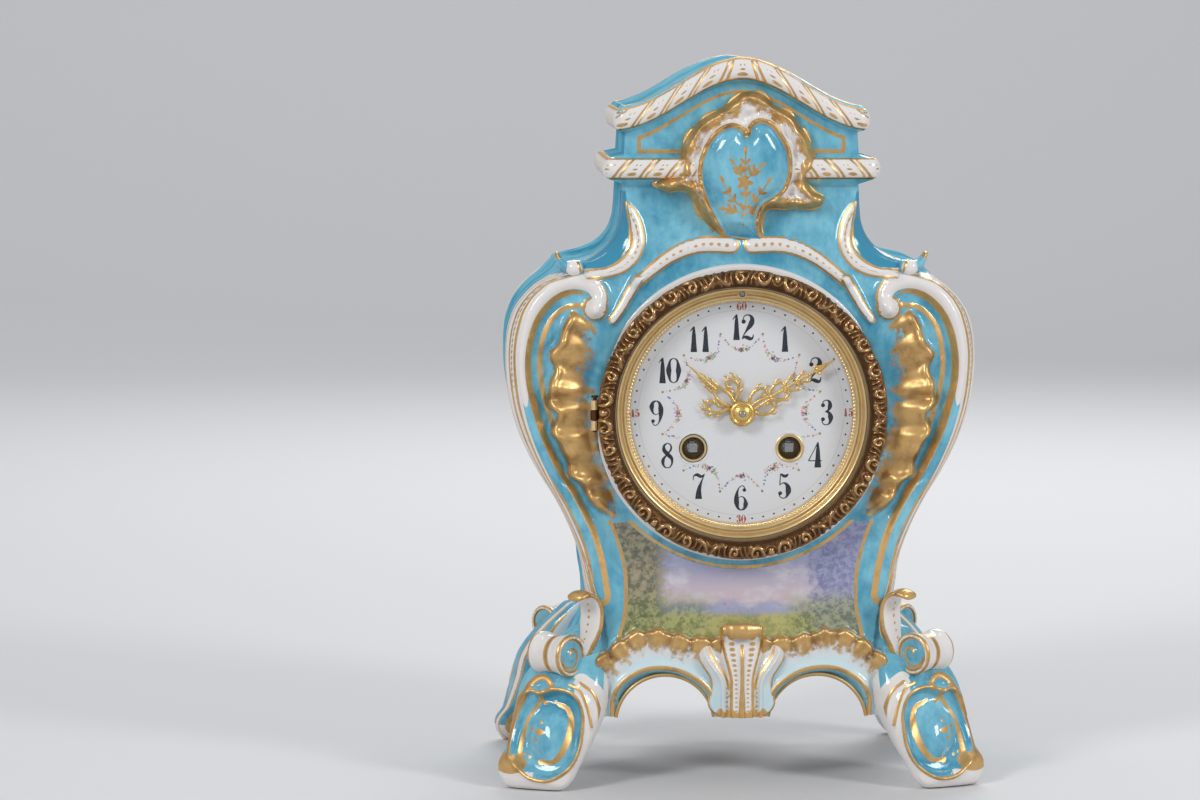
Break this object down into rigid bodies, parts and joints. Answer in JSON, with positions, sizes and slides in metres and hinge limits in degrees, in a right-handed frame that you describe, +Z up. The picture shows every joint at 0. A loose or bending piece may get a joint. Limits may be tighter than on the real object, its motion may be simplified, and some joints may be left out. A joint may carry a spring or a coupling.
{
  "type": "mantel clock",
  "caption": "Footed mantel clock in a scrolled glazed case, with a hinged glazed bezel, enamel dial, hands, spring movement, pendulum, bell and rear door.",
  "frame": {"origin": "middle of the clock's footprint, on the surface it stands on", "axes": "+Z up, +X to the right of a viewer facing the dial, the dial faces -Y"},
  "size_m": [0.192, 0.132, 0.285],
  "materials": {
    "porcelain": "glossy turquoise glaze with white and gilt scrolls",
    "enamel": "white fired enamel with black and red numerals",
    "gilt_bronze": "dark gilt bronze, embossed, bright on the raised parts",
    "gilt": "fire-gilt brass, satin",
    "brass": "lacquered brass",
    "steel": "polished steel",
    "bell_metal": "turned bell metal",
    "glass": "clear glass"
  },
  "bodies": {
    "case": {"porcelain_case": "porcelain", "front_ring": "brass", "bezel_hinge_pin": "brass", "dial_surround": "gilt", "enamel_dial": "enamel", "dial_pan": "brass", "left_grommet": "brass", "right_grommet": "brass", "front_plate": "brass", "back_plate": "brass", "pillar_1": "brass", "pillar_nut_1": "brass", "pillar_2": "brass", "pillar_nut_2": "brass", "pillar_3": "brass", "pillar_nut_3": "brass", "pillar_4": "brass", "pillar_nut_4": "brass", "suspension_cock": "brass", "bell": "bell_metal", "bell_post": "brass", "bell_nut": "brass", "left_case_strap": "brass", "left_strap_screw": "steel", "right_case_strap": "brass", "right_strap_screw": "steel", "rear_ring": "brass", "rear_hinge_pin": "brass"},
    "bezel": {"bezel_rim": "gilt_bronze", "bezel_glass": "glass"},
    "minute_train": {"minute_hand": "gilt", "hand_collet": "brass", "cannon_pinion": "steel", "centre_wheel": "brass"},
    "hour_train": {"hour_hand": "gilt", "hour_wheel": "brass"},
    "motion_idler": {"minute_wheel": "brass"},
    "going_first": {"going_barrel": "brass"},
    "going_second": {"intermediate_wheel": "brass"},
    "going_third": {"third_wheel": "brass"},
    "going_escape": {"escape_wheel": "brass"},
    "strike_first": {"strike_barrel": "brass"},
    "strike_second": {"strike_second_wheel": "brass", "count_wheel": "brass"},
    "strike_third": {"pin_wheel": "brass"},
    "strike_last": {"strike_fly": "brass"},
    "going_winder": {"going_winding_arbor": "steel"},
    "strike_winder": {"strike_winding_arbor": "steel"},
    "regulator": {"regulator_arbor": "steel"},
    "pallets": {"pallet_anchor": "steel"},
    "pendulum": {"suspension_spring": "steel", "pendulum_rod": "steel", "pendulum_bob": "brass"},
    "pendulum_nut": {"rating_nut": "brass"},
    "hammer_arm": {"hammer": "steel"},
    "back_door": {"rear_door": "brass"},
    "door_button": {"rear_door_button": "brass"}
  },
  "joints": [
    {"name": "bezel_hinge", "type": "hinge", "parent": "case", "child": "bezel", "pos_m": [-0.0577, -0.0513, 0.146], "axis": [0, 0, -1], "range_deg": [0, 100]},
    {"name": "minute_turn", "type": "hinge", "parent": "case", "child": "minute_train", "pos_m": [0, -0.02, 0.146], "axis": [0, 1, 0], "continuous": true},
    {"name": "hour_turn", "type": "hinge", "parent": "case", "child": "hour_train", "pos_m": [0, -0.02, 0.146], "axis": [0, 1, 0], "continuous": true},
    {"name": "motion_idler_turn", "type": "hinge", "parent": "case", "child": "motion_idler", "pos_m": [0, -0.02, 0.13448], "axis": [0, 1, 0], "continuous": true},
    {"name": "going_barrel_turn", "type": "hinge", "parent": "case", "child": "going_first", "pos_m": [0.0189, -0.02, 0.1321], "axis": [0, 1, 0], "continuous": true},
    {"name": "intermediate_turn", "type": "hinge", "parent": "case", "child": "going_second", "pos_m": [0.01377, -0.02, 0.14825], "axis": [0, 1, 0], "continuous": true},
    {"name": "third_turn", "type": "hinge", "parent": "case", "child": "going_third", "pos_m": [0, -0.02, 0.15995], "axis": [0, 1, 0], "continuous": true},
    {"name": "escape_turn", "type": "hinge", "parent": "case", "child": "going_escape", "pos_m": [0, -0.02, 0.17], "axis": [0, 1, 0], "continuous": true},
    {"name": "strike_barrel_turn", "type": "hinge", "parent": "case", "child": "strike_first", "pos_m": [-0.0189, -0.02, 0.1321], "axis": [0, 1, 0], "continuous": true},
    {"name": "strike_second_turn", "type": "hinge", "parent": "case", "child": "strike_second", "pos_m": [-0.01377, -0.02, 0.14825], "axis": [0, 1, 0], "continuous": true},
    {"name": "pin_wheel_turn", "type": "hinge", "parent": "case", "child": "strike_third", "pos_m": [-0.02032, -0.02, 0.16057], "axis": [0, 1, 0], "continuous": true},
    {"name": "fly_turn", "type": "hinge", "parent": "case", "child": "strike_last", "pos_m": [-0.01262, -0.02, 0.16703], "axis": [0, 1, 0], "continuous": true},
    {"name": "going_winding", "type": "hinge", "parent": "case", "child": "going_winder", "pos_m": [0.0189, -0.02, 0.1321], "axis": [0, 1, 0], "continuous": true},
    {"name": "strike_winding", "type": "hinge", "parent": "case", "child": "strike_winder", "pos_m": [-0.0189, -0.02, 0.1321], "axis": [0, 1, 0], "continuous": true},
    {"name": "regulator_turn", "type": "hinge", "parent": "case", "child": "regulator", "pos_m": [0, -0.02, 0.1928], "axis": [0, 1, 0], "range_deg": [-360, 360]},
    {"name": "pendulum_swing", "type": "hinge", "parent": "case", "child": "pendulum", "pos_m": [0, 0.0061, 0.181], "axis": [0, 1, 0], "range_deg": [-4, 4]},
    {"name": "pallet_rock", "type": "hinge", "parent": "case", "child": "pallets", "pos_m": [0, -0.02, 0.181], "axis": [0, 1, 0], "range_deg": [-4, 4]},
    {"name": "rating_nut_turn", "type": "hinge", "parent": "pendulum", "child": "pendulum_nut", "pos_m": [0, 0.0061, 0.064], "axis": [0, 0, 1], "continuous": true},
    {"name": "hammer_lift", "type": "hinge", "parent": "case", "child": "hammer_arm", "pos_m": [-0.032, -0.02, 0.145], "axis": [0, -1, 0], "range_deg": [0, 10], "stiffness_Nm_per_rad": 0.01, "springref_deg": -11.46},
    {"name": "rear_door_hinge", "type": "hinge", "parent": "case", "child": "back_door", "pos_m": [0.0527, 0.0513, 0.146], "axis": [0, 0, -1], "range_deg": [0, 100]},
    {"name": "door_button_turn", "type": "hinge", "parent": "back_door", "child": "door_button", "pos_m": [-0.0488, 0.053, 0.146], "axis": [0, 1, 0], "range_deg": [0, 90]}
  ],
  "couplings": [
    {"joint": "hour_turn", "follows": "minute_turn", "ratio": 0.083333},
    {"joint": "motion_idler_turn", "follows": "minute_turn", "ratio": -0.33333},
    {"joint": "going_barrel_turn", "follows": "minute_turn", "ratio": 0.0625},
    {"joint": "intermediate_turn", "follows": "minute_turn", "ratio": -0.25},
    {"joint": "third_turn", "follows": "minute_turn", "ratio": -4},
    {"joint": "escape_turn", "follows": "minute_turn", "ratio": 16},
    {"joint": "strike_second_turn", "follows": "strike_barrel_turn", "ratio": -4},
    {"joint": "pin_wheel_turn", "follows": "strike_barrel_turn", "ratio": 16},
    {"joint": "fly_turn", "follows": "strike_barrel_turn", "ratio": -64},
    {"joint": "pallet_rock", "follows": "pendulum_swing", "ratio": 1}
  ]
}
